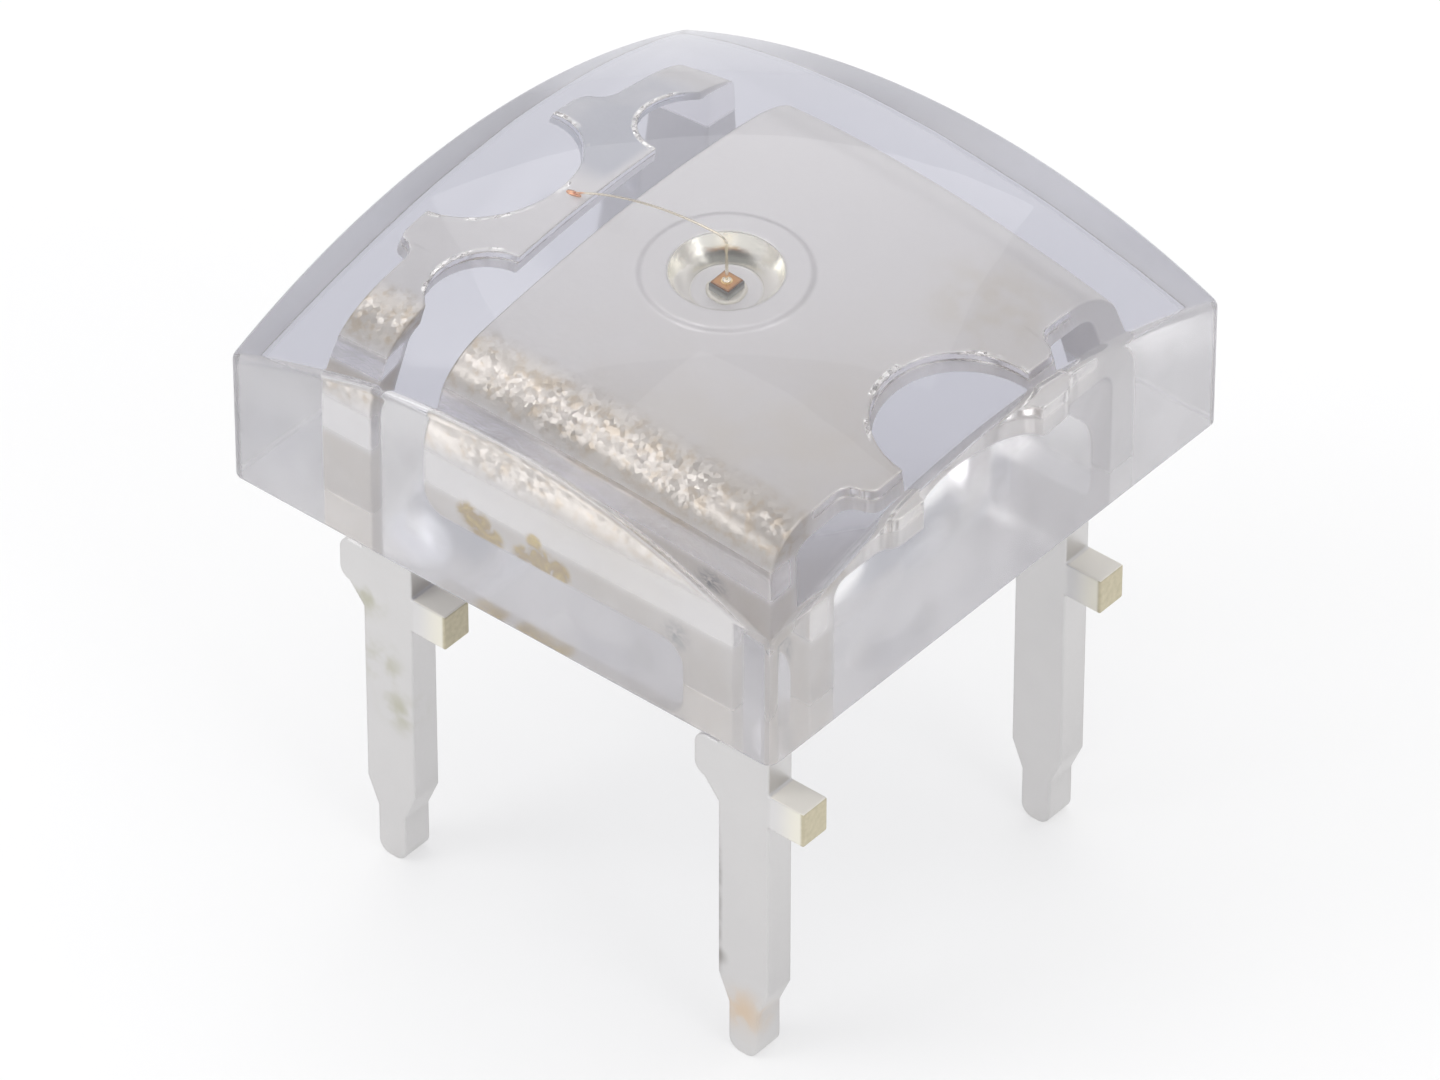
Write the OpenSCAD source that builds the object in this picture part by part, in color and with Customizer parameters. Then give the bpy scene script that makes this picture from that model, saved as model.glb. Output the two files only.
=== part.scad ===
// Square four-lead LED: a clear epoxy body with a domed top, moulded round a lead frame of two
// stamped and bent pieces, with the chip in a cup of the larger piece and a wire to the smaller one.
// Millimetres, +Z up. The part stands on its lead tips, and the origin is the middle of its footprint.

/* [Body] */
// Width of the square body
body_w = 7.62; // [7.4:0.02:8.4]
// Radius of the upright corners
corner_r = 0.14; // [0.1:0.02:0.6]
// Height of the dome's top above the underside
dome_h = 3.17; // [2.9:0.01:3.6]
// Radius of the dome's sphere
dome_r = 10.2; // [9:0.1:14]
// Radius of the rounded rim between the dome and each wall
rim_r = 0.12; // [0.06:0.02:0.3]

/* [Lead frame sheet] */
// Thickness of the sheet
sheet_t = 0.4; // [0.3:0.01:0.5]
// Height of the plates' upper face above the body's underside
plate_h = 1.8; // [1.5:0.05:2]
// Inside radius of the bends
bend_r = 0.2; // [0.1:0.05:0.4]
// Height of the flange's lower edge above the body's underside
flange_h = 0.5; // [0.2:0.05:0.8]
// Radius of the flange's lower corners
flange_r = 0.3; // [0.1:0.05:0.45]

/* [Leads] */
// Pitch of the leads along X
pitch_x = 5.08; // [4.9:0.02:5.3]
// Pitch of the leads along Y
pitch_y = 5.08; // [4.9:0.02:5.3]
// Width of a lead
lead_w = 0.7; // [0.55:0.05:0.8]
// Length of the leads below the body
lead_drop = 5.5; // [4.5:0.05:7]
// Width of the narrow tip
tip_w = 0.4; // [0.25:0.01:0.5]
// Length of the narrow tip
tip_l = 0.65; // [0.5:0.02:1.2]
// Length of the taper above the tip
taper_l = 0.36; // [0.2:0.02:0.6]
// Radius of the tip's lower corners
tip_r = 0.16; // [0.04:0.01:0.2]

/* [Dam bar remains] */
// Distance from the body's underside to the dam bar's lower edge
bar_drop = 2.05; // [1.8:0.05:2.8]
// Height of the cut stub on the lead's +X side
stub_h = 0.46; // [0.3:0.02:0.6]
// Reach of the cut stub beyond the lead
stub_l = 0.49; // [0.2:0.01:0.6]
// Height of the rounded shoulder on the lead's -X side
shoulder_h = 0.84; // [0.7:0.02:1.2]
// Reach of the rounded shoulder beyond the lead
shoulder_l = 0.34; // [0.2:0.02:0.5]

/* [Plate outlines] */
// Place of the gap between the two plates, along X
gap_x = -1.635; // [-1.8:0.005:-1.4]
// Width of the gap between the two plates
gap_w = 0.39; // [0.25:0.01:0.5]
// Half-length of the wire's pad along Y
pad_y = 1.08; // [0.9:0.02:1.2]
// Radius of the round ends of the slots beside the pad
slot_r = 0.62; // [0.5:0.01:0.7]
// Width of the smaller plate's arms at their narrowest, beside the slots
waist_w = 0.46; // [0.4:0.01:0.55]
// Reach of the ears from the middle, along X
ear_x = 3.2; // [3.05:0.01:3.3]
// Half-length over the ears, along Y
ear_y = 1.5; // [1.3:0.02:1.7]
// Radius of the ears' outer corners
ear_r = 0.16; // [0.05:0.01:0.2]
// Radius of the inner corners where the ears end
ear_fillet_r = 0.22; // [0.1:0.01:0.25]
// Radius of the round notch between the ears
notch_r = 1; // [0.8:0.01:1]

/* [Reflector cup] */
// Radius of the raised ring round the cup
ring_r = 0.91; // [0.75:0.01:1.0]
// Height of the raised ring above the plate
ring_h = 0.05; // [0.02:0.01:0.08]
// Radius of the cup's rim
cup_rim_r = 0.6; // [0.5:0.01:0.66]
// Radius of the cup's floor
cup_floor_r = 0.36; // [0.3:0.01:0.44]
// Depth of the cup below the plate
cup_depth = 0.4; // [0.3:0.01:0.5]
// Thickness of the cup's pressed wall and floor
cup_t = 0.2; // [0.16:0.01:0.26]

/* [Chip and wire] */
// Width of the square chip
die_w = 0.25; // [0.2:0.01:0.3]
// Height of the chip
die_h = 0.18; // [0.12:0.01:0.24]
// Thickness of the adhesive under the chip
attach_h = 0.03; // [0.015:0.005:0.05]
// Reach of the adhesive beyond the chip's corners
attach_reach = 0.04; // [0.02:0.01:0.08]
// Diameter of the bond wire
wire_d = 0.034; // [0.02:0.002:0.05]
// Diameter of the ball bond on the chip
ball_d = 0.1; // [0.07:0.01:0.14]
// Height of the ball bond
ball_h = 0.035; // [0.02:0.005:0.05]
// Radius of the wire's bend above the chip
loop_r = 0.14; // [0.08:0.01:0.2]
// Radius of the wire's long fall to the pad
fall_r = 2.6; // [2.4:0.1:8]
// Length of the flattened stitch bond on the pad
stitch_l = 0.2; // [0.12:0.01:0.26]
// Width of the flattened stitch bond
stitch_w = 0.09; // [0.06:0.01:0.12]
// Height of the flattened stitch bond
stitch_h = 0.02; // [0.01:0.005:0.03]

/* [Hidden] */
$fn = 64;
dome_fn = 200;

// Overrun of cutting shapes, and a reach beyond everything
over = 1;
rim_out = 0.002;
reach = 2 * (body_w + lead_drop);

// Heights, from the lead tips
seat_z = lead_drop;
plate_z = seat_z + plate_h;
plate_under_z = plate_z - sheet_t;
flange_z = seat_z + flange_h;
dome_centre_z = seat_z + dome_h - dome_r;
bar_z = seat_z - bar_drop;
ring_z = plate_z + ring_h;
cup_floor_z = plate_z - cup_depth;
die_z = cup_floor_z + attach_h;
die_top_z = die_z + die_h;

// Places along X and Y
lead_x = pitch_x / 2;
arm_in = lead_x - lead_w / 2;
arm_out = lead_x + lead_w / 2;
sheet_out_y = pitch_y / 2 + sheet_t / 2;
sheet_in_y = sheet_out_y - sheet_t;
gap_left = gap_x - gap_w / 2;
gap_right = gap_x + gap_w / 2;
notch_reach = ear_x - notch_r;
// Tip corners, just short of half the tip's width at most
tip_corner_r = min(tip_r, 0.45 * tip_w);
// The slots' round ends cut into the arms and end the pad
slot_x = waist_w - arm_out + slot_r;
slot_y = pad_y + slot_r;

// The wire's route, in the plane y = 0: up from the ball, round the bend, then a long fall to the pad.
// The loop's top is kept to a whole micron.
microns = 1000;
stitch_x = (gap_left - notch_reach) / 2;
fall_turn = asin((-stitch_x - loop_r) / fall_r);
fall_h = fall_r * (1 - cos(fall_turn));
loop_top_z = round(microns * (plate_z + wire_d / 2 + fall_h)) / microns;
// Rounded ends of the stitch, just short of half its width
stitch_corner_r = 0.45 * stitch_w;

// Rectangle between two corners
module span(x0, x1, y0, y1) {
    translate([x0, y0]) square([x1 - x0, y1 - y0]);
}

// Rectangle between two corners, with all four corners rounded
module round_span(x0, x1, y0, y1, r) {
    span(x0 + r, x1 - r, y0, y1);
    span(x0, x1, y0 + r, y1 - r);
    for (x = [x0 + r, x1 - r], y = [y0 + r, y1 - r])
        translate([x, y]) circle(r);
}

// Material that rounds an inner corner, which opens towards the signs of sx and sy
module inner_fillet(x, y, sx, sy, r) {
    translate([x, y]) difference() {
        span(min(0, sx * r), max(0, sx * r), min(0, sy * r), max(0, sy * r));
        translate([sx * r, sy * r]) circle(r);
    }
}

// Copies a shape to both sides of the X axis
module both_sides() {
    children();
    mirror([0, 1]) children();
}

// Block with rounded upright corners, from the underside up past the dome
module body_block() {
    translate([0, 0, seat_z]) linear_extrude(dome_h + over)
        round_span(-body_w / 2, body_w / 2, -body_w / 2, body_w / 2, corner_r);
}

// Half-section of the sphere cut off by two opposite walls, with the rim at each wall rounded.
// The rounding's circle stands a little out of the dome and the walls, so it crosses them at a clear angle.
// Its middle is placed in two steps, whole millimetres first, which keeps its last digits.
module dome_section() {
    wall = body_w / 2;
    inset = rim_r - rim_out;
    foot = dome_r - inset;
    rim_x = wall - inset;
    rim_d = sqrt(foot * foot - rim_x * rim_x);
    rim_whole = floor(rim_d);
    beyond = rim_r + over;
    difference() {
        intersection() {
            circle(dome_r, $fn = dome_fn);
            span(0, dome_r + over, -wall, wall);
        }
        for (side = [-1, 1])
            translate([rim_whole, 0]) translate([rim_d - rim_whole, side * rim_x]) difference() {
                polygon([[0, 0], [0, side * beyond], [beyond, side * beyond],
                         [beyond, side * beyond * rim_x / rim_d]]);
                circle(rim_r);
            }
    }
}

// Turned dome that rounds one pair of opposite rims, its axis along X
module dome_turned() {
    translate([0, 0, dome_centre_z]) rotate([0, 90, 0]) rotate_extrude($fn = dome_fn) dome_section();
}

// Section of the bent sheet: the plate with a rounded bend down to each row of leads
module sheet_section() {
    outer_r = bend_r + sheet_t;
    difference() {
        union() {
            span(-sheet_out_y, sheet_out_y, 0, plate_z - outer_r);
            round_span(-sheet_out_y, sheet_out_y, 0, plate_z, outer_r);
        }
        span(-sheet_in_y, sheet_in_y, -over, plate_under_z - bend_r);
        round_span(-sheet_in_y, sheet_in_y, -over, plate_under_z, bend_r);
    }
}

// Bent sheet, cut to an outline seen from above and to one seen from the front
module bent_sheet() {
    intersection() {
        rotate([90, 0, 90]) linear_extrude(reach, center = true) sheet_section();
        linear_extrude(plate_z + over) children(0);
        rotate([90, 0, 0]) linear_extrude(reach, center = true) children(1);
    }
}

// Ears of one plate, on its +X side, without their notch
module ears_plan() {
    round_span(0, ear_x, -ear_y, ear_y, ear_r);
    both_sides() inner_fillet(arm_out, ear_y, 1, 1, ear_fillet_r);
}

module notch_plan() {
    translate([ear_x, 0]) circle(notch_r);
}

// Larger plate seen from above: straight along the gap, with ears round a notch on the far side
module cathode_plan() {
    difference() {
        union() {
            span(gap_right, arm_out, -sheet_out_y, sheet_out_y);
            ears_plan();
        }
        notch_plan();
    }
}

// Smaller plate seen from above: two arms, the wire's pad between them, and the ears
module anode_plan() {
    difference() {
        union() {
            span(-arm_out, -arm_in, -sheet_out_y, sheet_out_y);
            span(-arm_in, gap_left, -slot_y, slot_y);
            intersection() {
                mirror([1, 0]) ears_plan();
                span(-reach, -arm_in, -reach, reach);
            }
        }
        mirror([1, 0]) notch_plan();
        both_sides() translate([slot_x, slot_y]) circle(slot_r);
    }
}

// One lead seen from the front, about its own middle line, with what is left of the dam bar
module lead_front() {
    half = lead_w / 2;
    taper_z = tip_l + taper_l;
    span(-half, half, taper_z, flange_z + flange_r);
    polygon([[-tip_w / 2, tip_l], [tip_w / 2, tip_l], [half, taper_z], [-half, taper_z]]);
    span(-tip_w / 2, tip_w / 2, tip_corner_r, tip_l);
    round_span(-tip_w / 2, tip_w / 2, 0, tip_l, tip_corner_r);
    span(half, half + stub_l, bar_z, bar_z + stub_h);
    shoulder_r = shoulder_l / 2;
    round_span(-half - shoulder_l, half, bar_z + shoulder_h / 2 - shoulder_r, bar_z + shoulder_h, shoulder_r);
    polygon([[-half, bar_z], [-half, bar_z + shoulder_h / 2], [-half - shoulder_l, bar_z + shoulder_h / 2]]);
}

// Both leads of one frame piece, in the planes of its bent-down edges
module leads(x) {
    for (side = [-1, 1])
        translate([x, side * pitch_y / 2, 0]) rotate([90, 0, 0])
            linear_extrude(sheet_t, center = true) lead_front();
}

module plate_front() {
    span(-reach, reach, plate_under_z, plate_z + over);
}

// Larger piece seen from the front: a flange right across, rounded into the lead
module cathode_front() {
    plate_front();
    span(gap_right, arm_out, flange_z + flange_r, plate_z);
    span(gap_right + flange_r, arm_out, flange_z, plate_z);
    translate([gap_right + flange_r, flange_z + flange_r]) circle(flange_r);
    inner_fillet(arm_in, flange_z, -1, -1, flange_r);
}

// Smaller piece seen from the front: its arms run straight into the leads
module anode_front() {
    plate_front();
    span(-arm_out, -arm_in, flange_z, plate_z);
}

// Pressed boss of the cup: it stands below the plate, and as a low ring above it
module cup_boss() {
    rotate_extrude()
        polygon([[0, cup_floor_z - cup_t], [cup_floor_r + cup_t / 2, cup_floor_z - cup_t],
                 [cup_rim_r + cup_t / 2, plate_under_z], [ring_r, plate_z - sheet_t / 2],
                 [ring_r, plate_z], [ring_r - ring_h, ring_z], [0, ring_z]]);
}

module cup_hollow() {
    flare = (cup_rim_r - cup_floor_r) / (ring_z - cup_floor_z);
    rotate_extrude()
        polygon([[0, cup_floor_z], [cup_floor_r, cup_floor_z],
                 [cup_rim_r + flare * over, ring_z + over], [0, ring_z + over]]);
}

module cathode_shape() {
    difference() {
        union() {
            bent_sheet() {
                cathode_plan();
                cathode_front();
            }
            leads(lead_x);
            cup_boss();
        }
        cup_hollow();
    }
}

module anode_shape() {
    bent_sheet() {
        anode_plan();
        anode_front();
    }
    leads(-lead_x);
}

// Low pad of adhesive, wider at the cup's floor than at the chip
module attach_shape() {
    top_r = die_w / sqrt(2) + attach_reach / 2;
    translate([0, 0, cup_floor_z]) cylinder(h = attach_h, r1 = top_r + attach_reach / 2, r2 = top_r);
}

module die_shape() {
    translate([-die_w / 2, -die_w / 2, die_z]) cube([die_w, die_w, die_h]);
}

// Arc of the wire that touches the loop's top, from a start angle and through a turn
module wire_arc(r, start, turn) {
    translate([-loop_r, 0, loop_top_z - r]) rotate([90, 0, 0]) rotate([0, 0, start])
        rotate_extrude(angle = turn) translate([r, 0]) circle(d = wire_d);
}

// Bond wire in one piece: ball, upright neck, bend, long fall and stitch
module wire_shape() {
    translate([0, 0, die_top_z]) cylinder(h = ball_h, d = ball_d);
    translate([0, 0, die_top_z]) cylinder(h = loop_top_z - loop_r - die_top_z, d = wire_d);
    wire_arc(loop_r, 0, 90);
    wire_arc(fall_r, 90, fall_turn);
    translate([stitch_x, 0, plate_z]) linear_extrude(stitch_h)
        round_span(-stitch_l / 2, stitch_l / 2, -stitch_w / 2, stitch_w / 2, stitch_corner_r);
}

// Clear body, moulded round everything inside it
module lens_body() {
    color([0.85, 0.86, 0.93, 0.45]) difference() {
        intersection() {
            body_block();
            dome_turned();
            rotate([0, 0, 90]) dome_turned();
        }
        cathode_shape();
        anode_shape();
        attach_shape();
        die_shape();
        wire_shape();
    }
}

module cathode_frame() {
    color([0.78, 0.78, 0.77]) cathode_shape();
}

module anode_frame() {
    color([0.76, 0.76, 0.76]) anode_shape();
}

module die_attach() {
    color([0.8, 0.78, 0.7]) attach_shape();
}

module led_die() {
    color([0.85, 0.48, 0.12]) die_shape();
}

module bond_wire() {
    color([0.88, 0.68, 0.25]) wire_shape();
}

lens_body();
cathode_frame();
anode_frame();
die_attach();
led_die();
bond_wire();
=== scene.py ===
"""Looks for a clear square LED: a moulded lens round a plated lead frame, a chip in its cup, a gold wire."""
import math

import bmesh
import bpy
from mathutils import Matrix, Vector


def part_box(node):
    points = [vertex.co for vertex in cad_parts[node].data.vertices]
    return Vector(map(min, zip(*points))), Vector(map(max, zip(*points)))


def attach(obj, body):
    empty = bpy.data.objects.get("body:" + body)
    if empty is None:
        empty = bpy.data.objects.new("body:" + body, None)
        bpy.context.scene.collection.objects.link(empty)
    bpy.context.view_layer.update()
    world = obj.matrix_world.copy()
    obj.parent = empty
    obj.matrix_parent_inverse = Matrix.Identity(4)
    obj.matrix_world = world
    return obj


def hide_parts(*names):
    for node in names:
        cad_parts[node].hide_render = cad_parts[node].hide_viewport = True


MM = 0.001
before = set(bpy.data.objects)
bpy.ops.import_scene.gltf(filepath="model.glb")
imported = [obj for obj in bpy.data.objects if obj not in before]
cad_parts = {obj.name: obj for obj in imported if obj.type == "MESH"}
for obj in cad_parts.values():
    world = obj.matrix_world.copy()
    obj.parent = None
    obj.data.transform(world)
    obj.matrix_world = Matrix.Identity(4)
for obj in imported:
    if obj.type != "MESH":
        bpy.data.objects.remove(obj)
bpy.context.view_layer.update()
scene = bpy.context.scene
scene.view_settings.view_transform = "Standard"

# Light may cross and bounce inside the clear body many times
scene.cycles.max_bounces = 40
scene.cycles.glossy_bounces = 32
scene.cycles.transmission_bounces = 32

# Sizes in millimetres, as in the part's source
LENS_LOW, LENS_HIGH = (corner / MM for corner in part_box("lens_body"))
SEAT = LENS_LOW.z
BODY_HALF = LENS_HIGH.x
CORNER_R = 0.14
DOME_R = 10.2
RIM_R = 0.12
PLATE_Z = SEAT + 1.8
LEAD_X = 2.54
LEAD_W = 0.7
LEAD_FACE_Y = 2.74
STUB_L = 0.49
BAR_Z = SEAT - 2.05
NOTCH_X = 3.2
NOTCH_R = 1.0
GAP_LEFT = -1.83
SLOT_X = -1.81
SLOT_Y = 1.7
SLOT_R = 0.62
RING_R = 0.91
CUP_RIM_R = 0.6
CUP_FLOOR_R = 0.36
CUP_DEPTH = 0.4
CHIP_LOW, CHIP_HIGH = (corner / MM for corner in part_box("led_die"))
PAD_LOW, PAD_HIGH = (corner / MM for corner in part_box("die_attach"))
WIRE_D = 0.034
BALL_D = 0.1
BALL_H = 0.035
LOOP_R = 0.14
LOOP_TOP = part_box("bond_wire")[1].z / MM - WIRE_D / 2
FALL_R = 2.6
STITCH_X = -2.015
STITCH_L = 0.2
STITCH_W = 0.09
STITCH_H = 0.02

# Forms too fine for the source
FOOT_R = 0.03
EDGE_R = 0.02
ROLLED_W = 0.06
CHIP_STEP = 0.012
CONTACT_R = 0.058
CONTACT_H = 0.004
EDGE_ANGLE = math.radians(38)
SHARP_ANGLE = math.radians(30)
FLAT_ANGLE = math.radians(0.5)
SAME_PLACE = 1e-7

# How strongly the clear and cloudy materials bend light
EPOXY_INDEX = 1.53
CHIP_SIDE_INDEX = 2.2
CHIP_TOP_INDEX = 1.9

# Colours of the epoxy: seen through the dome, through a wall, and off the underside
CLEAR = (0.79, 0.785, 0.81)
WALL = (0.83, 0.825, 0.84)
DEEP = (0.42, 0.425, 0.525)

# Colours of the plating, its wear and the bare metal, and of painted shade, painted reflection and painted
# highlights on it
SILVER = (0.93, 0.915, 0.92)
SHADED_WARM_SILVER = (0.9, 0.86, 0.81)
CUP_SILVER = (0.985, 0.975, 0.925)
HIGHLIGHT_SILVER = (0.97, 0.955, 0.93)
SHADED_LEAD = (0.66, 0.65, 0.65)
SHADED_PALE_LEAD = (0.72, 0.71, 0.705)
REFLECTED_BLUE_GREY = (0.72, 0.73, 0.78)
TARNISH = (0.78, 0.71, 0.58)
FLANGE_TARNISH = (0.8, 0.75, 0.69)
BEND_GREY = (0.64, 0.595, 0.535)
BEND_GOLD = (0.58, 0.475, 0.345)
STUB_SIDE = (0.84, 0.81, 0.7)
SHADE_LIFTED_TOP = (0.84, 0.81, 0.74)
CUT_DARK = (0.46, 0.42, 0.29)
CUT_PALE = (0.66, 0.6, 0.46)
STAIN_DARK = (0.5, 0.31, 0.015)
STAIN_PALE = (0.74, 0.53, 0.07)
SMEAR = (0.42, 0.41, 0.42)
OLIVE = (0.48, 0.47, 0.36)
RUST = (0.6, 0.42, 0.24)
TIP_TINT = (0.72, 0.56, 0.4)
EDGE_SHADE_GREY = (0.42, 0.41, 0.4)
EDGE_SHADE_DARK = (0.26, 0.24, 0.22)

# Golden stain on the front flange and olive smudges on the left lead: across, up, reach
STAIN_BLOTS = (
    (-0.8, 0.74, 0.26),
    (-0.64, 0.65, 0.3),
    (-0.46, 0.57, 0.22),
    (-0.02, 0.55, 0.24),
    (0.22, 0.58, 0.34),
    (0.46, 0.6, 0.26),
    (0.12, 0.84, 0.16),
)
OLIVE_SPOTS = ((-2.66, 2.75, 0.5), (-2.4, 2.2, 0.45), (-2.84, 3.6, 0.4))

# Shares of white that the paper floor adds for each kind of ray
FLOOR_SHARES = (("Is Camera Ray", 0.5), ("Is Glossy Ray", 0.5), ("Is Transmission Ray", 0.97))


class Graph:
    """Short ways to put shader nodes into one material, with places in millimetres."""

    def __init__(self, name):
        self.material = bpy.data.materials.new(name)
        self.material.use_nodes = True
        self.tree = self.material.node_tree
        self.shader = self.tree.nodes["Principled BSDF"]
        coords = self.add("TexCoord")
        scaled = self.add("VectorMath")
        scaled.operation = "SCALE"
        self.put(scaled.inputs["Scale"], 1 / MM)
        self.put(scaled.inputs[0], coords.outputs["Object"])
        self.place = scaled.outputs[0]
        split = self.add("SeparateXYZ")
        self.put(split.inputs[0], self.place)
        self.x, self.y, self.z = split.outputs

    def add(self, kind):
        return self.tree.nodes.new("ShaderNode" + kind)

    def put(self, socket, value):
        """Links a socket to another one, or gives it a plain number, vector or colour."""
        if isinstance(value, bpy.types.NodeSocket):
            self.tree.links.new(value, socket)
        elif socket.type == "RGBA":
            socket.default_value = (*value, 1.0)
        else:
            socket.default_value = value

    def set(self, **values):
        """Sets the main shader's sockets, named with underscores for spaces."""
        for name, value in values.items():
            self.put(self.shader.inputs[name.replace("_", " ")], value)

    def math(self, operation, a, b=0.0):
        node = self.add("Math")
        node.operation = operation
        self.put(node.inputs[0], a)
        self.put(node.inputs[1], b)
        return node.outputs[0]

    def times(self, *values):
        product = values[0]
        for value in values[1:]:
            product = self.math("MULTIPLY", product, value)
        return product

    def most(self, *values):
        largest = values[0]
        for value in values[1:]:
            largest = self.math("MAXIMUM", largest, value)
        return largest

    def size(self, value):
        return self.math("ABSOLUTE", value)

    def length(self, a, b):
        """Distance made by two steps at a right angle."""
        return self.math("SQRT", self.math("ADD", self.times(a, a), self.times(b, b)))

    def step(self, value, low, high, start=0.0, end=1.0):
        """Goes smoothly from start to end while the value goes from low to high."""
        node = self.add("MapRange")
        node.interpolation_type = "SMOOTHSTEP"
        sockets = ("Value", "From Min", "From Max", "To Min", "To Max")
        for socket, setting in zip(sockets, (value, low, high, start, end)):
            self.put(node.inputs[socket], setting)
        return node.outputs["Result"]

    def band(self, value, low, high, soft):
        """1 between two levels, with soft ends."""
        above = self.step(value, low - soft, low + soft)
        below = self.step(value, high + soft, high - soft)
        return self.times(above, below)

    def near(self, x, y, z, radius):
        """1 at a point, falling to 0 at the radius; None leaves a direction out."""
        total = None
        for axis, middle in ((self.x, x), (self.y, y), (self.z, z)):
            if middle is not None:
                gap = self.math("SUBTRACT", axis, middle)
                square = self.times(gap, gap)
                total = square if total is None else self.math("ADD", total, square)
        return self.step(self.math("SQRT", total), radius, 0.0)

    def ring(self, x, y, radius, width):
        """1 along a narrow band just outside an upright circle."""
        across = self.math("SUBTRACT", self.x, x)
        along = self.math("SUBTRACT", self.y, y)
        return self.band(self.length(across, along), radius, radius + width, 0.01)

    def noise(self, scale, detail=2.0, roughness=0.5, distortion=0.0, stretch=None):
        node = self.add("TexNoise")
        place = self.place
        if stretch:
            mapping = self.add("Mapping")
            self.put(mapping.inputs["Scale"], stretch)
            self.put(mapping.inputs["Vector"], place)
            place = mapping.outputs["Vector"]
        self.put(node.inputs["Vector"], place)
        self.put(node.inputs["Scale"], scale)
        self.put(node.inputs["Detail"], detail)
        self.put(node.inputs["Roughness"], roughness)
        self.put(node.inputs["Distortion"], distortion)
        return node.outputs["Fac"]

    def cells(self, scale):
        """Distance to the middle of each cell, and the cell's own random colour."""
        node = self.add("TexVoronoi")
        self.put(node.inputs["Vector"], self.place)
        self.put(node.inputs["Scale"], scale)
        return node.outputs["Distance"], node.outputs["Color"]

    def mix(self, share, a, b):
        """Colour between two colours."""
        node = self.add("Mix")
        node.data_type = "RGBA"
        self.put(node.inputs[0], share)
        self.put(node.inputs[6], a)
        self.put(node.inputs[7], b)
        return node.outputs[2]

    def blend(self, share, a, b):
        """Number between two numbers."""
        node = self.add("Mix")
        node.data_type = "FLOAT"
        self.put(node.inputs[0], share)
        self.put(node.inputs[2], a)
        self.put(node.inputs[3], b)
        return node.outputs[0]

    def mottled(self, scale, detail, a, b):
        """Colour that wanders between two colours."""
        return self.mix(self.noise(scale, detail), a, b)

    def level(self):
        """1 on faces that lie flat, 0 on faces that stand upright."""
        geometry = self.add("NewGeometry")
        split = self.add("SeparateXYZ")
        self.put(split.inputs[0], geometry.outputs["True Normal"])
        return self.size(split.outputs["Z"])

    def rounded(self, radius_mm):
        """The surface's direction with its edges made round."""
        node = self.add("Bevel")
        node.samples = 4
        self.put(node.inputs["Radius"], radius_mm * MM)
        return node.outputs["Normal"]

    def facets(self, normal, tilt, amount):
        """Turns the surface's direction by a random amount in each cell, so some cells catch the light."""
        steps = (
            ("SUBTRACT", 1, (0.5, 0.5, 0.5)),
            ("SCALE", 3, amount),
            ("ADD", 1, normal),
            ("NORMALIZE", 1, (0, 0, 0)),
        )
        for operation, socket, other in steps:
            node = self.add("VectorMath")
            node.operation = operation
            self.put(node.inputs[0], tilt)
            self.put(node.inputs[socket], other)
            tilt = node.outputs[0]
        return tilt

    def bump(self, height, depth_mm, under=None):
        """The surface's direction with a relief, which can lie on another one."""
        node = self.add("Bump")
        self.put(node.inputs["Distance"], depth_mm * MM)
        self.put(node.inputs["Height"], height)
        if under:
            self.put(node.inputs["Normal"], under)
        return node.outputs["Normal"]


def lens_material():
    """Clear cast epoxy with a lavender cast: polished dome, walls and underside a little dull."""
    g = Graph("clear_epoxy")
    wall = g.step(g.most(g.size(g.x), g.size(g.y)), BODY_HALF - 0.1, BODY_HALF - 0.04)
    under = g.step(g.z, SEAT + FOOT_R, SEAT + FOOT_R / 3)
    g.set(Base_Color=g.mix(under, g.mix(wall, CLEAR, WALL), DEEP), IOR=EPOXY_INDEX)

    # The back and left walls stay clear, and the other two are a little milky, most of all low down
    back_wall = g.step(g.y, BODY_HALF - 0.2, BODY_HALF - 0.1)
    left_wall = g.step(g.x, 0.2 - BODY_HALF, 0.1 - BODY_HALF)
    hidden = g.most(back_wall, left_wall)
    patches = g.step(g.noise(1.4, 3.0, 0.6), 0.3, 0.7, 0.7, 1.0)
    cloudy = g.times(patches, g.step(g.z, SEAT + 1.3, SEAT + 2.2, 1.0, 0.5))
    milky = g.times(wall, cloudy, g.step(hidden, 1.0, 0.0))
    g.set(Transmission_Weight=g.step(milky, 0.0, 1.0, 1.0, 0.73))

    # Polish of the dome, and duller walls and underside as they left the mould
    polish = g.step(g.noise(0.7, 3.0), 0.35, 0.7, 0.015, 0.035)
    moulded = g.blend(g.times(wall, hidden), 0.1, 0.36)
    g.set(Roughness=g.blend(g.most(wall, under), polish, moulded))
    g.set(Normal=g.bump(g.noise(0.55, 1.5), 0.012))
    return g.material


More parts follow.
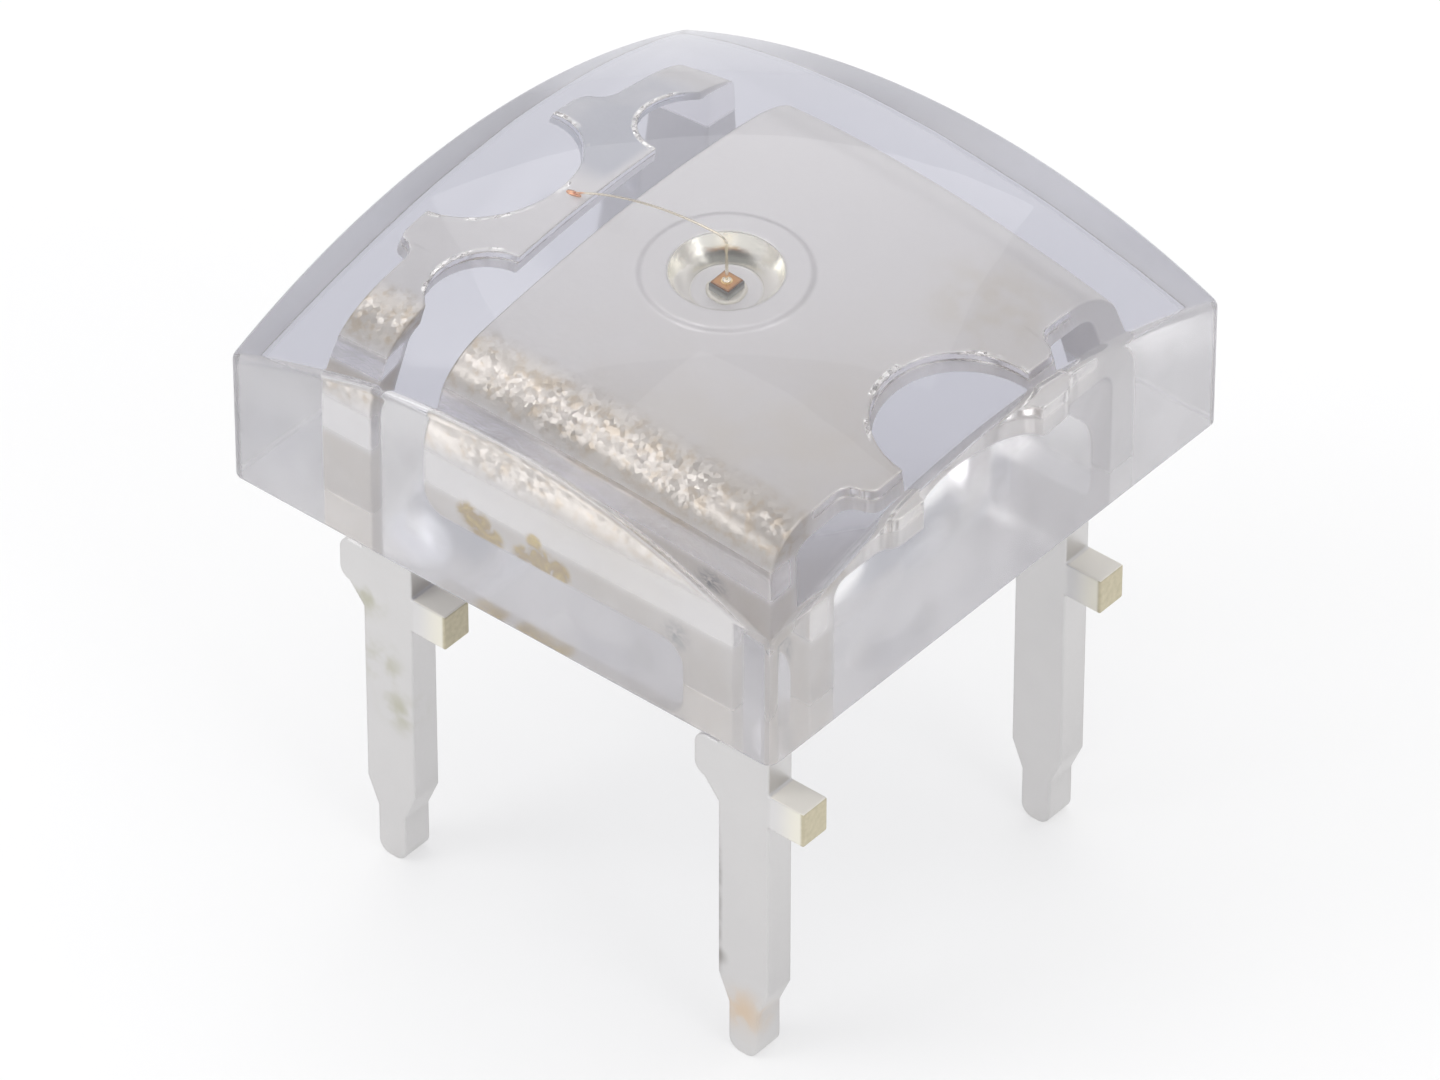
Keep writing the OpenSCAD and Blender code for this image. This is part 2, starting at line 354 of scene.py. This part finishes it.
def plated_material():
    """Silver plating: satin plates, stretched bends, a bright cup and the real part's wear, with painted
    shade on the plates, the leads and a lead's edge, a painted reflection, painted highlights and painted
    light on the stub tops.
    """
    g = Graph("plated_frame")
    cloud = g.noise(0.9, 3.0, 0.55)
    grain = g.noise(24.0, 4.0, 0.65)
    forward = g.step(g.math("SUBTRACT", g.x, g.y), -0.5, 5.0)
    front = g.step(g.y, -2.3, -2.5)
    radius = g.length(g.x, g.y)
    # Painted shade: in cloudy patches the plating turns warmer and a little darker towards the front and
    # right
    colour = g.mix(g.times(g.step(cloud, 0.38, 0.7, 0.4, 1.0), forward), SILVER, SHADED_WARM_SILVER)
    rough = g.blend(grain, 0.5, 0.68)

    # Painted reflection: a dim blue-grey patch on the smaller plate's back arm, where the plate mirrors
    # something dark
    back_arm = g.band(g.y, 0.35, 2.2, 0.2)
    painted_reflection = g.times(g.step(g.x, -1.8, -2.0), back_arm, g.step(cloud, 0.3, 0.6, 0.6, 1.0))
    colour = g.mix(painted_reflection, colour, REFLECTED_BLUE_GREY)

    # Brown tarnish on the larger plate, by its back ear
    blotchy = g.step(g.noise(2.2, 2.0), 0.35, 0.65, 0.1, 0.4)
    tarnish = g.times(g.near(2.3, 1.5, PLATE_Z, 1.1), blotchy)
    colour = g.mix(tarnish, colour, TARNISH)

    # Painted shade: the plating on the leads below the body is a darker grey that wanders at random, and it
    # is smoother
    below_body = g.step(g.z, SEAT + 0.03, SEAT - 0.03)
    colour = g.mix(below_body, colour, g.mix(cloud, SHADED_LEAD, SHADED_PALE_LEAD))
    rough = g.blend(below_body, rough, g.blend(grain, 0.3, 0.46))

    # Outer faces of the front bends, stretched to an orange peel when the sheet was folded
    bend = g.times(g.step(g.y, -2.02, -2.36), g.step(g.z, PLATE_Z - 0.55, PLATE_Z - 0.25))
    golden = g.step(g.noise(6.0, 3.0, 0.6), 0.46, 0.66)
    colour = g.mix(g.times(bend, 0.85), colour, BEND_GREY)
    colour = g.mix(g.times(bend, golden, 0.55), colour, BEND_GOLD)
    rough = g.blend(bend, rough, 0.34)

    # Low part of the flange, tarnished a little brown
    low_flange = g.times(front, g.band(g.z, SEAT - 0.2, SEAT + 0.85, 0.08))
    colour = g.mix(g.times(low_flange, g.step(cloud, 0.3, 0.6, 0.5, 0.9)), colour, FLANGE_TARNISH)

    # Flanges burnished by the bending tool, just under the bends
    front_top = g.times(front, g.band(g.z, SEAT + 0.85, PLATE_Z - 0.45, 0.08))
    back_band = g.band(g.z, SEAT, PLATE_Z - 0.35, 0.08)
    back_face = g.times(g.step(g.y, 2.2, 2.3), back_band, g.step(g.x, 0.0, -1.0))
    rough = g.blend(back_face, g.blend(front_top, rough, 0.18), 0.2)

    # Polished wall of the cup, a little yellow, and the coined edge of the ring round it
    in_cup = g.step(g.z, PLATE_Z - CUP_DEPTH - 0.05, PLATE_Z - CUP_DEPTH)
    cup = g.times(g.band(radius, CUP_FLOOR_R, CUP_RIM_R, 0.02), in_cup)
    colour = g.mix(cup, colour, CUP_SILVER)
    rough = g.blend(cup, rough, 0.13)
    ring_edge = g.band(radius, RING_R - 0.07, RING_R + 0.02, 0.015)
    coined = g.times(ring_edge, g.step(g.z, PLATE_Z - 0.02, PLATE_Z))
    worn = g.step(g.noise(2.4, 2.0), 0.4, 0.6)
    rough = g.blend(g.times(coined, g.step(forward, 0.15, 0.3), worn), rough, 0.14)

    # Sheared edges of the plates: burnished above, torn and duller below
    upright = g.step(g.level(), 0.6, 0.3)
    sheared = g.times(upright, g.step(g.size(g.y), 2.2, 2.0), g.step(radius, 0.95, 1.05))
    burnished = g.step(g.z, PLATE_Z - 0.2, PLATE_Z - 0.12)
    rough = g.blend(sheared, rough, g.blend(burnished, 0.36, 0.13))

    # Bare yellow metal where the bar between the leads was cut
    outward = g.math("SUBTRACT", g.size(g.x), LEAD_X)
    stub_side = g.math("MULTIPLY", outward, g.step(g.x, -0.01, 0.01, -1.0, 1.0))
    stub_root = LEAD_W / 2
    stub_end = stub_root + STUB_L
    bar = g.band(g.z, BAR_Z - 0.1, BAR_Z + 0.55, 0.02)
    cut = g.times(g.step(stub_side, stub_end - 0.06, stub_end - 0.015), bar)
    yellowed = g.times(g.step(stub_side, stub_root + 0.05, stub_end - 0.05, 0.0, 0.8), bar)
    colour = g.mix(yellowed, colour, STUB_SIDE)
    colour = g.mix(cut, colour, g.mottled(16.0, 3.0, CUT_DARK, CUT_PALE))

    # Golden stain low on the front flange, in two lobes, and a grey smear by the front lead
    lobes = g.most(*(g.near(x, None, SEAT + z, reach) for x, z, reach in STAIN_BLOTS))
    ragged = g.noise(5.0, 4.0, 0.65, 1.0)
    stain = g.times(g.step(g.times(lobes, g.step(ragged, 0.32, 0.58, 0.3, 1.0)), 0.05, 0.5), front)
    colour = g.mix(stain, colour, g.mix(g.step(ragged, 0.45, 0.65), STAIN_DARK, STAIN_PALE))
    smear = g.times(g.near(2.1, None, SEAT + 0.62, 0.28), front, g.step(ragged, 0.36, 0.56))
    colour = g.mix(smear, colour, SMEAR)

    # Olive smudges on the left lead, rust on the back lead by the body, a tint at the front lead's tip
    cloudy = g.step(g.noise(3.2, 2.0, 0.5), 0.36, 0.66)
    specks = g.most(*(g.near(x, -LEAD_FACE_Y, z, reach) for x, z, reach in OLIVE_SPOTS))
    colour = g.mix(g.times(specks, cloudy, 0.75), colour, OLIVE)
    rust = g.times(g.near(2.78, 2.34, 4.95, 0.34), cloudy, 0.85)
    colour = g.mix(rust, colour, RUST)
    tip = g.times(g.near(LEAD_X, -LEAD_FACE_Y, 0.62, 0.5), g.step(cloudy, 0.0, 1.0, 0.3, 0.8))
    colour = g.mix(tip, colour, TIP_TINT)

    # Painted shade: a grey strip down the left edge of the front lead, darkest at its lower end
    edge_shade_strip = g.times(g.band(g.x, 2.1, 2.24, 0.03), front, g.band(g.z, 1.1, 2.9, 0.25))
    colour = g.mix(g.times(edge_shade_strip, g.step(cloudy, 0.0, 1.0, 0.3, 0.75)), colour, EDGE_SHADE_GREY)
    colour = g.mix(g.times(g.near(2.2, -LEAD_FACE_Y, 1.25, 0.17), 0.6), colour, EDGE_SHADE_DARK)

    # Edges rolled by the punch round the notches and slots, in patches: smoother and faceted to catch the
    # lamps, with a lighter colour as a painted highlight
    openings = [g.ring(side * NOTCH_X, 0.0, NOTCH_R, ROLLED_W) for side in (-1, 1)]
    on_strip = g.step(g.x, GAP_LEFT + 0.02, GAP_LEFT)
    openings += [g.times(on_strip, g.ring(SLOT_X, side * SLOT_Y, SLOT_R, ROLLED_W)) for side in (-1, 1)]
    patches = g.step(g.noise(1.9, 2.0), 0.48, 0.56)
    rolled_highlight = g.times(g.most(*openings), g.step(g.z, PLATE_Z - 0.06, PLATE_Z - 0.03), patches)
    colour = g.mix(rolled_highlight, colour, HIGHLIGHT_SILVER)
    rough = g.blend(rolled_highlight, rough, 0.2)

    # Stubs of the cut bar, dull all round; painted light on top, where a pale colour and no metal lift the
    # shade under the body
    stub = g.times(g.step(stub_side, stub_root, stub_root + 0.05), bar)
    shade_lifted_top = g.times(stub, g.step(g.level(), 0.5, 0.8))
    colour = g.mix(shade_lifted_top, colour, SHADE_LIFTED_TOP)
    metal = g.blend(shade_lifted_top, g.step(stub, 0.0, 1.0, 1.0, 0.25), 0.0)
    g.set(Base_Color=colour, Metallic=metal, Roughness=g.blend(stub, rough, 0.7))

    # Relief: fine grain, soft waves, torn sheared edges, and facets on the bends and rolled edges
    fine = g.bump(grain, 0.0014, g.rounded(0.045))
    soft = g.bump(g.noise(2.6, 2.0), 0.007, fine)
    streaks = g.noise(9.0, 2.0, stretch=(1.0, 1.0, 0.35))
    torn = g.bump(g.times(sheared, g.math("SUBTRACT", 1.0, burnished), streaks), 0.02, soft)
    patchy = g.times(g.step(g.noise(1.6, 2.0), 0.34, 0.6, 0.3, 1.0), g.step(g.x, 3.2, -1.2, 0.5, 1.0))
    _, tilt = g.cells(17.0)
    g.set(Normal=g.facets(torn, tilt, g.most(g.times(bend, patchy, 0.38), g.times(rolled_highlight, 0.9))))
    return g.material


def chip_materials():
    """Materials of the chip's sides, of its top and of its contact pad."""
    side = Graph("chip_side")
    height = side.step(side.z, CHIP_LOW.z + 0.03, CHIP_HIGH.z - 0.05)
    cloudy = side.mottled(30.0, 3.0, (0.36, 0.37, 0.37), (0.48, 0.49, 0.48))
    dark = (0.07, 0.055, 0.05)
    side.set(Base_Color=side.mix(height, cloudy, dark), Roughness=0.35, IOR=CHIP_SIDE_INDEX)

    top = Graph("chip_top")
    edge = top.step(top.most(top.size(top.x), top.size(top.y)), 0.085, 0.12)
    amber = top.mottled(18.0, 2.0, (0.6, 0.24, 0.04), (0.76, 0.36, 0.08))
    brown = (0.3, 0.1, 0.03)
    top.set(Base_Color=top.mix(edge, amber, brown), Roughness=0.24, IOR=CHIP_TOP_INDEX)

    pad = Graph("chip_pad")
    gold = pad.mottled(40.0, 2.0, (0.93, 0.72, 0.34), (0.98, 0.83, 0.5))
    pad.set(Base_Color=gold, Metallic=1.0, Roughness=0.28)
    return side.material, top.material, pad.material


def adhesive_material():
    """Cured adhesive, bright with silver flakes."""
    g = Graph("adhesive")
    flake, _ = g.cells(55.0)
    g.set(Base_Color=g.mix(flake, (0.84, 0.81, 0.74), (0.93, 0.9, 0.83)), Metallic=0.85, Roughness=0.5)
    g.set(Normal=g.bump(g.noise(45.0, 2.0), 0.003))
    return g.material


def gold_material():
    """Drawn gold wire, coppery where it is welded to the frame."""
    g = Graph("gold_wire")
    weld = g.step(g.x, STITCH_X + 0.16, STITCH_X + 0.08)
    gold = g.mottled(20.0, 2.0, (0.95, 0.86, 0.67), (0.98, 0.92, 0.79))
    g.set(Base_Color=g.mix(weld, gold, (0.86, 0.46, 0.28)), Metallic=1.0, Roughness=0.24)
    g.set(Normal=g.bump(g.noise(60.0, 2.0), 0.001))
    return g.material


def floor_material():
    """White paper with soft shadows, kept white by a share of plain white light."""
    g = Graph("floor_paper")
    g.set(Base_Color=g.mottled(0.4, 2.0, (0.85, 0.85, 0.855), (0.86, 0.86, 0.865)), Roughness=0.85)
    path = g.add("LightPath")
    seen = g.most(*(g.times(path.outputs[ray], share) for ray, share in FLOOR_SHARES))
    white = g.add("Emission")
    paper = g.add("MixShader")
    g.put(paper.inputs[0], seen)
    g.put(paper.inputs[1], g.shader.outputs["BSDF"])
    g.put(paper.inputs[2], white.outputs["Emission"])
    g.put(g.tree.nodes["Material Output"].inputs["Surface"], paper.outputs["Shader"])
    return g.material


def new_piece(name, verts, faces, materials, normals=None, indices=None):
    """Mesh piece from places in millimetres, shaded smooth."""
    mesh = bpy.data.meshes.new(name)
    mesh.from_pydata([[c * MM for c in v] for v in verts], [], faces)
    for material in materials:
        mesh.materials.append(material)
    mesh.polygons.foreach_set("use_smooth", [True] * len(mesh.polygons))
    if indices:
        mesh.polygons.foreach_set("material_index", indices)
    mesh.update()
    if normals:
        mesh.normals_split_custom_set_from_vertices(normals)
    obj = bpy.data.objects.new(name, mesh)
    scene.collection.objects.link(obj)
    return obj


def rounded_outline(half, radius, per_side, per_corner):
    """Points and outward normals round a square with rounded corners, anticlockwise."""
    points = []
    flat = half - radius
    for quarter in range(4):
        turn = quarter * math.pi / 2
        middle = flat * Vector((math.cos(turn) - math.sin(turn), math.sin(turn) + math.cos(turn)))
        for i in range(per_corner + 1):
            angle = turn + i / per_corner * math.pi / 2
            normal = Vector((math.cos(angle), math.sin(angle)))
            points.append((middle + radius * normal, normal))
        normal = Vector((math.cos(turn + math.pi / 2), math.sin(turn + math.pi / 2)))
        along = Vector((-normal.y, normal.x))
        start = middle + radius * normal
        for i in range(1, per_side):
            points.append((start + along * (2 * flat * i / per_side), normal))
    return points


def circle(radius, z, count):
    """Places round an upright circle about the part's axis."""
    turns = [2 * math.pi * i / count for i in range(count)]
    return [(radius * math.cos(turn), radius * math.sin(turn), z) for turn in turns]


def ring_faces(rows, count, start=0):
    """Faces between closed rows of places, the first of which is number start."""
    faces = []
    for r in range(rows - 1):
        lower = start + r * count
        upper = lower + count
        for i in range(count):
            j = (i + 1) % count
            faces.append((lower + i, lower + j, upper + j, upper + i))
    return faces


def lens_piece():
    """Moulded body: flat underside, upright walls, a rolled rim and a shallow spherical dome."""
    outline = rounded_outline(BODY_HALF, CORNER_R, per_side=44, per_corner=12)
    count = len(outline)
    centre = Vector((0, 0, LENS_HIGH.z - DOME_R))
    down = Vector((0, 0, -1))
    base_rows = 6
    foot_rows = 4
    wall_rows = 10
    rim_rows = 8
    dome_rows = 30
    rows = []

    # Underside, from its middle out
    for i in range(1, base_rows + 1):
        row = []
        for p, n in outline:
            level = Vector((*(p - FOOT_R * n), 0)) * (i / base_rows)
            row.append((level + Vector((0, 0, SEAT)), down))
        rows.append(row)

    # Small round at the foot of the walls
    for i in range(1, foot_rows + 1):
        turn = i / foot_rows * math.pi / 2
        height = SEAT + FOOT_R * (1 - math.cos(turn))
        row = []
        for p, n in outline:
            inner = p - FOOT_R * n * (1 - math.sin(turn))
            way = Vector((*(n * math.sin(turn)), -math.cos(turn)))
            row.append((Vector((*inner, height)), way))
        rows.append(row)

    # Middle of the rim's round at each place, with the wall's and the dome's directions
    rims = []
    for p, n in outline:
        inner = p - RIM_R * n
        height = centre.z + math.sqrt((DOME_R - RIM_R) ** 2 - inner.length_squared)
        middle = Vector((*inner, height))
        rims.append((middle, Vector((*n, 0)), (middle - centre).normalized()))

    # Upright walls, then the rim
    for i in range(1, wall_rows + 1):
        row = []
        for middle, out, _ in rims:
            drop = down * (middle.z - SEAT - FOOT_R) * (1 - i / wall_rows)
            row.append((middle + RIM_R * out + drop, out))
        rows.append(row)
    for i in range(1, rim_rows + 1):
        row = []
        for middle, out, top in rims:
            way = out.slerp(top, i / rim_rows)
            row.append((middle + RIM_R * way, way))
        rows.append(row)

    # Dome, from its edge in
    dome_edge = rows[-1]
    for i in range(1, dome_rows):
        share = 1 - i / dome_rows
        row = []
        for p, _ in dome_edge:
            x = p.x * share
            y = p.y * share
            top = Vector((x, y, centre.z + math.sqrt(DOME_R ** 2 - x * x - y * y)))
            row.append((top, (top - centre).normalized()))
        rows.append(row)

    # Faces between the rows, and fans at the underside's middle and the apex
    verts = [place for row in rows for place, _ in row]
    normals = [way for row in rows for _, way in row]
    faces = ring_faces(len(rows), count)
    base = len(verts)
    apex = base + 1
    top_row = base - count
    verts += [Vector((0, 0, SEAT)), Vector((0, 0, LENS_HIGH.z))]
    normals += [down, -down]
    for i in range(count):
        j = (i + 1) % count
        faces.append((base, j, i))
        faces.append((apex, top_row + i, top_row + j))
    return new_piece("lens", verts, faces, [lens_material()], normals)


def sheet_piece(node, name, material):
    """A frame piece with the small round edges that stamping and plating leave."""
    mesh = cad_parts[node].data.copy()
    mesh.name = name
    mesh.materials.clear()
    mesh.materials.append(material)
    form = bmesh.new()
    form.from_mesh(mesh)
    bmesh.ops.remove_doubles(form, verts=form.verts, dist=SAME_PLACE)
    bmesh.ops.dissolve_limit(form, angle_limit=FLAT_ANGLE, verts=form.verts, edges=form.edges)
    bmesh.ops.recalc_face_normals(form, faces=form.faces)
    form.to_mesh(mesh)
    form.free()
    if "custom_normal" in mesh.attributes:
        mesh.attributes.remove(mesh.attributes["custom_normal"])
    mesh.polygons.foreach_set("use_smooth", [True] * len(mesh.polygons))
    mesh.set_sharp_from_angle(angle=SHARP_ANGLE)
    obj = bpy.data.objects.new(name, mesh)
    scene.collection.objects.link(obj)
    edges = obj.modifiers.new("edges", "BEVEL")
    edges.width = EDGE_R * MM
    edges.segments = 2
    edges.limit_method = "ANGLE"
    edges.angle_limit = EDGE_ANGLE
    edges.use_clamp_overlap = False
    edges.harden_normals = True
    return obj


def chip_piece():
    """Chip with a stepped top and a round contact pad."""
    half = CHIP_HIGH.x
    inner = half - CHIP_STEP
    low = CHIP_LOW.z
    tall = CHIP_HIGH.z - low
    step_foot = low + 0.78 * tall
    step_head = low + 0.84 * tall
    top = CHIP_HIGH.z - CONTACT_H
    levels = ((half, low), (half, step_foot), (inner, step_head), (inner, top))
    verts = []
    for size, z in levels:
        verts += [(size, size, z), (-size, size, z), (-size, -size, z), (size, -size, z)]
    faces = ring_faces(len(levels), 4)
    faces += [(12, 13, 14, 15), (3, 2, 1, 0)]

    # Materials by number: 0 for the sides and foot, 1 for the stepped top, 2 for the contact pad
    indices = [0] * 8 + [1] * 5 + [0]
    start = len(verts)
    sides = 24
    verts += circle(CONTACT_R, top, sides) + circle(CONTACT_R, CHIP_HIGH.z, sides)
    faces += ring_faces(2, sides, start)
    faces.append(tuple(range(start + sides, start + 2 * sides)))
    indices += [2] * (sides + 1)
    obj = new_piece("chip", verts, faces, chip_materials(), indices=indices)
    obj.data.set_sharp_from_angle(angle=SHARP_ANGLE)
    return obj


def adhesive_piece():
    """Adhesive squeezed out round the chip's foot, uneven as it set."""
    count = 56
    rows = 7
    tall = PAD_HIGH.z - PAD_LOW.z
    verts = []
    for r in range(rows):
        share = r / (rows - 1)
        taper = 1 - 0.12 * share - 0.1 * share ** 3
        height = PAD_LOW.z + tall * math.sin(share * math.pi / 2)
        for i in range(count):
            turn = 2 * math.pi * i / count
            broad_lobes = 0.05 * (0.5 + 0.5 * math.sin(3 * turn + 0.7))
            small_lobes = 0.03 * (0.5 + 0.5 * math.sin(7 * turn))
            radius = PAD_HIGH.x * (1 - broad_lobes - small_lobes) * taper
            verts.append((radius * math.cos(turn), radius * math.sin(turn), height))
    faces = ring_faces(rows, count)
    faces.append(tuple(range((rows - 1) * count, rows * count)))
    faces.append(tuple(reversed(range(count))))
    return new_piece("adhesive_collar", verts, faces, [adhesive_material()])


def wire_route():
    """Places along the wire's middle: from the ball up the neck, round the loop and down to the stitch."""
    ball_crown = CHIP_HIGH.z + BALL_H * 0.8
    neck_foot = CHIP_HIGH.z + 0.1
    neck_top = LOOP_TOP - LOOP_R
    neck_steps = 4
    loop_steps = 12
    fall_steps = 32
    route = [Vector((0, 0, ball_crown)), Vector((0, 0, neck_foot))]
    for i in range(1, neck_steps + 1):
        route.append(Vector((0, 0, neck_foot + (neck_top - neck_foot) * i / neck_steps)))
    for i in range(1, loop_steps + 1):
        turn = i / loop_steps * math.pi / 2
        across = -LOOP_R + LOOP_R * math.cos(turn)
        route.append(Vector((across, 0, neck_top + LOOP_R * math.sin(turn))))
    last = math.asin((-STITCH_X - LOOP_R) / FALL_R)
    for i in range(1, fall_steps + 1):
        turn = last * i / fall_steps
        across = -LOOP_R - FALL_R * math.sin(turn)
        route.append(Vector((across, 0, LOOP_TOP - FALL_R * (1 - math.cos(turn)))))
    return route


def wire_piece():
    """Gold wire: a pressed ball, an upright neck, the loop, the long fall and a flattened stitch."""
    route = wire_route()
    sides = 14
    turns = 28
    side = Vector((0, 1, 0))
    verts = []
    for k, point in enumerate(route):
        ahead = (route[min(k + 1, len(route) - 1)] - route[max(k - 1, 0)]).normalized()
        up = ahead.cross(side)
        for i in range(sides):
            turn = 2 * math.pi * i / sides
            verts.append(point + WIRE_D / 2 * (math.cos(turn) * side + math.sin(turn) * up))
    faces = ring_faces(len(route), sides)
    faces.append(tuple(reversed(range(sides))))
    faces.append(tuple(range((len(route) - 1) * sides, len(route) * sides)))

    # Ball, turned from a squashed round profile: shares of its width and height
    profile = (
        (0.0, 0.0),
        (0.36, 0.0),
        (0.47, 0.16),
        (0.5, 0.42),
        (0.46, 0.7),
        (0.36, 0.9),
        (0.2, 1.0),
        (0.0, 1.0),
    )
    faces += ring_faces(len(profile), turns, len(verts))
    for width, height in profile:
        verts += [Vector(p) for p in circle(BALL_D * width, CHIP_HIGH.z + BALL_H * height, turns)]

    # Stitch, a flat fan pressed onto the pad: shares of its height and spread
    levels = ((0.0, 1.0), (0.45, 0.97), (0.8, 0.85), (1.0, 0.6), (1.0, 0.0))
    flare = 0.22
    faces += ring_faces(len(levels), turns, len(verts))
    for height, spread in levels:
        for i in range(turns):
            turn = 2 * math.pi * i / turns
            fan = 1.0 - flare * math.cos(turn)
            across = STITCH_X + STITCH_L / 2 * spread * math.cos(turn)
            along = STITCH_W / 2 * spread * fan / (1 + flare) * math.sin(turn)
            verts.append(Vector((across, along, PLATE_Z + STITCH_H * height)))
    return new_piece("gold_wire", verts, faces, [gold_material()])


def add_floor():
    """Wide sheet of white paper under the lead tips."""
    reach = 900.0
    corners = [(-reach, -reach, 0), (reach, -reach, 0), (reach, reach, 0), (-reach, reach, 0)]
    floor = new_piece("floor", corners, [(0, 1, 2, 3)], [floor_material()])


def add_light(name, place, width, radiance):
    """Square soft light that faces the object, placed in millimetres, with the brightness of its face."""
    lamp = bpy.data.lights.new(name, "AREA")
    lamp.shape = "SQUARE"
    lamp.size = width * MM
    lamp.energy = radiance * math.pi * lamp.size ** 2
    obj = bpy.data.objects.new(name, lamp)
    obj.location = Vector(place) * MM
    aim = Vector((0, 0, SEAT * MM)) - obj.location
    obj.rotation_euler = aim.to_track_quat("-Z", "Y").to_euler()
    scene.collection.objects.link(obj)


def add_world():
    """Bright even surroundings, very slightly cooler at the horizon than overhead."""
    horizon = (0.9, 0.9, 0.91, 1)
    zenith = (0.91, 0.91, 0.91, 1)
    world = bpy.data.worlds.new("studio")
    world.use_nodes = True
    scene.world = world
    tree = world.node_tree
    coords = tree.nodes.new("ShaderNodeTexCoord")
    split = tree.nodes.new("ShaderNodeSeparateXYZ")
    tree.links.new(coords.outputs["Generated"], split.inputs[0])
    height = tree.nodes.new("ShaderNodeMapRange")
    height.interpolation_type = "SMOOTHSTEP"
    height.inputs["From Min"].default_value = -0.05
    height.inputs["From Max"].default_value = 0.75
    tree.links.new(split.outputs["Z"], height.inputs["Value"])
    tone = tree.nodes.new("ShaderNodeMix")
    tone.data_type = "RGBA"
    tone.inputs[6].default_value = horizon
    tone.inputs[7].default_value = zenith
    tree.links.new(height.outputs["Result"], tone.inputs[0])
    tree.links.new(tone.outputs[2], tree.nodes["Background"].inputs["Color"])


def add_camera():
    """Camera fitted to the photograph's body edges and leads."""
    turn = math.radians(40.0)
    rise = math.radians(39.3)
    roll = math.radians(0.05)
    distance = 130.0
    pixels_per_mm = 92.0
    photo_width = 1440.0
    photo_height = 1080.0
    seat_column = 726.3
    seat_row = 447.3
    back = Vector((math.sin(turn) * math.cos(rise), -math.cos(turn) * math.cos(rise), math.sin(rise)))
    level = Vector((math.cos(turn), math.sin(turn), 0))
    steep = back.cross(level)
    right = math.cos(roll) * level + math.sin(roll) * steep
    up = math.cos(roll) * steep - math.sin(roll) * level

    # The middle of the seat isn't in the middle of the picture, so the camera looks past it
    focal = pixels_per_mm * distance
    aside = right * (photo_width / 2 - seat_column) / focal
    below = up * (photo_height / 2 - seat_row) / focal
    ahead = (-back + aside - below).normalized()
    right = ahead.cross(up).normalized()
    up = right.cross(ahead)

    data = bpy.data.cameras.new("camera")
    data.sensor_fit = "HORIZONTAL"
    data.sensor_width = 36.0
    data.lens = focal / photo_width * data.sensor_width
    data.clip_start = 0.001
    data.clip_end = 20.0
    obj = bpy.data.objects.new("camera", data)
    turned = obj.matrix_world.copy()
    turned.col[0][:3] = right
    turned.col[1][:3] = up
    turned.col[2][:3] = -ahead
    turned.col[3][:3] = (Vector((0, 0, SEAT)) + back * distance) * MM
    obj.matrix_world = turned
    scene.collection.objects.link(obj)
    scene.camera = obj


add_camera()
add_floor()
add_world()
add_light("left_front", place=(-145, -194, 177), width=150, radiance=2.6)
add_light("right_front", place=(255, -40, 160), width=110, radiance=2.8)
add_light("back_sheet", place=(-200, 242, 280), width=330, radiance=0.5)
add_light("overhead", place=(0, 0, 400), width=300, radiance=0.65)

plated = plated_material()
dressed = [
    (lens_piece(), "lens_body", "clear_epoxy"),
    (sheet_piece("cathode_frame", "cathode_sheet", plated), "cathode_frame", "plated_frame"),
    (sheet_piece("anode_frame", "anode_sheet", plated), "anode_frame", "plated_frame"),
    (chip_piece(), "led_die", "chip"),
    (adhesive_piece(), "die_attach", "adhesive"),
    (wire_piece(), "bond_wire", "gold_wire"),
]
for piece, node, slot in dressed:
    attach(piece, "root")
    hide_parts(node)
